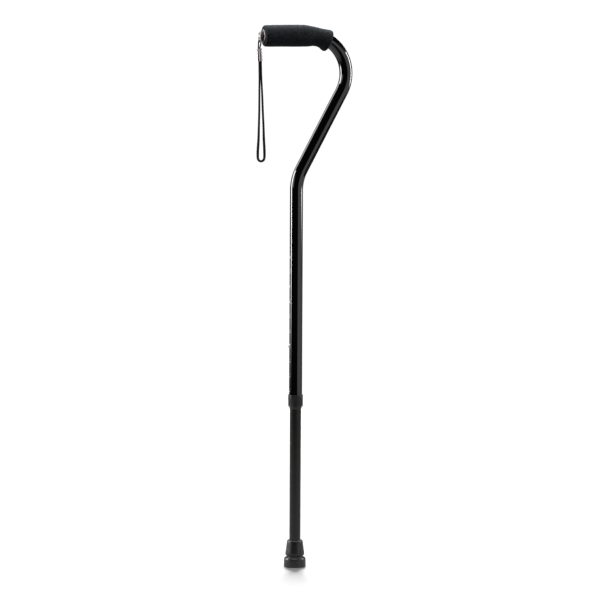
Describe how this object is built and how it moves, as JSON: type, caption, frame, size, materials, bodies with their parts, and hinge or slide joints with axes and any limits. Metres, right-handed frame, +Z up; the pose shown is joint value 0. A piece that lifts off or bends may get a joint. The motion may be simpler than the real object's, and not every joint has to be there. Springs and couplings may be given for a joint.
{
  "type": "offset handle walking cane",
  "caption": "Height-adjustable walking cane with an offset bent handle, foam grip, snap-button telescoping shaft, lock collar, single rubber tip and hanging wrist strap.",
  "frame": {"origin": "centre of the rubber tip's flat underside", "axes": "+Z up the shaft; the bent handle lies in the XZ plane with its free end towards -X; Y is across it"},
  "size_m": [0.1693, 0.038, 0.9228],
  "materials": {
    "upper_tube_black": "gloss black anodised aluminium",
    "lower_tube_black": "semi-gloss black anodised aluminium",
    "nylon_grey": "brownish grey nylon",
    "button_steel": "polished steel",
    "spring_steel": "spring steel",
    "collar_plastic": "textured black nylon",
    "tip_rubber": "dark grey rubber, satin",
    "grip_foam": "pebbled black foam rubber",
    "plug_plastic": "black plastic",
    "nickel": "satin nickel plate",
    "cord_black": "braided black cord"
  },
  "bodies": {
    "upper": {"upper_tube": "upper_tube_black", "foam_grip": "grip_foam", "handle_end_plug": "plug_plastic", "end_washer": "nickel", "tab_screw": "nickel"},
    "leg": {"lower_tube": "lower_tube_black", "leg_top_guide": "nylon_grey", "snap_spring": "spring_steel", "rubber_tip": "tip_rubber", "tip_disc": "spring_steel"},
    "button": {"snap_button": "button_steel"},
    "collet": {"collet": "nylon_grey"},
    "collar": {"lock_collar": "collar_plastic"},
    "tab": {"strap_tab": "nickel"},
    "strap": {"strap_eye_loop": "cord_black", "strap_ferrule": "nickel", "wrist_loop": "cord_black"}
  },
  "joints": [
    {"name": "height_adjust", "type": "slide", "parent": "upper", "child": "leg", "axis": [0, 0, 1], "range_m": [-0.0762, 0.1524], "deforming": ["snap_button"]},
    {"name": "button_press", "type": "slide", "parent": "leg", "child": "button", "axis": [1, 0, 0], "range_m": [0, 0.004], "stiffness_N_per_m": 2000, "springref_m": -0.002, "deforming": ["snap_spring"]},
    {"name": "collet_travel", "type": "slide", "parent": "upper", "child": "collet", "axis": [0, 0, -1], "range_m": [0, 0.003]},
    {"name": "collar_turn", "type": "hinge", "parent": "collet", "child": "collar", "pos_m": [0, 0, 0.285], "axis": [0, 0, -1], "range_deg": [0, 720]},
    {"name": "tab_swivel", "type": "hinge", "parent": "upper", "child": "tab", "pos_m": [-0.066, 0, 0.9045], "axis": [1, 0, 0], "continuous": true},
    {"name": "strap_swing", "type": "hinge", "parent": "tab", "child": "strap", "pos_m": [-0.066, 0, 0.8946], "axis": [0, 1, 0], "range_deg": [-15, 120]}
  ],
  "couplings": [
    {"joint": "collar_turn", "follows": "collet_travel", "rad_per_m": 4188.8}
  ]
}
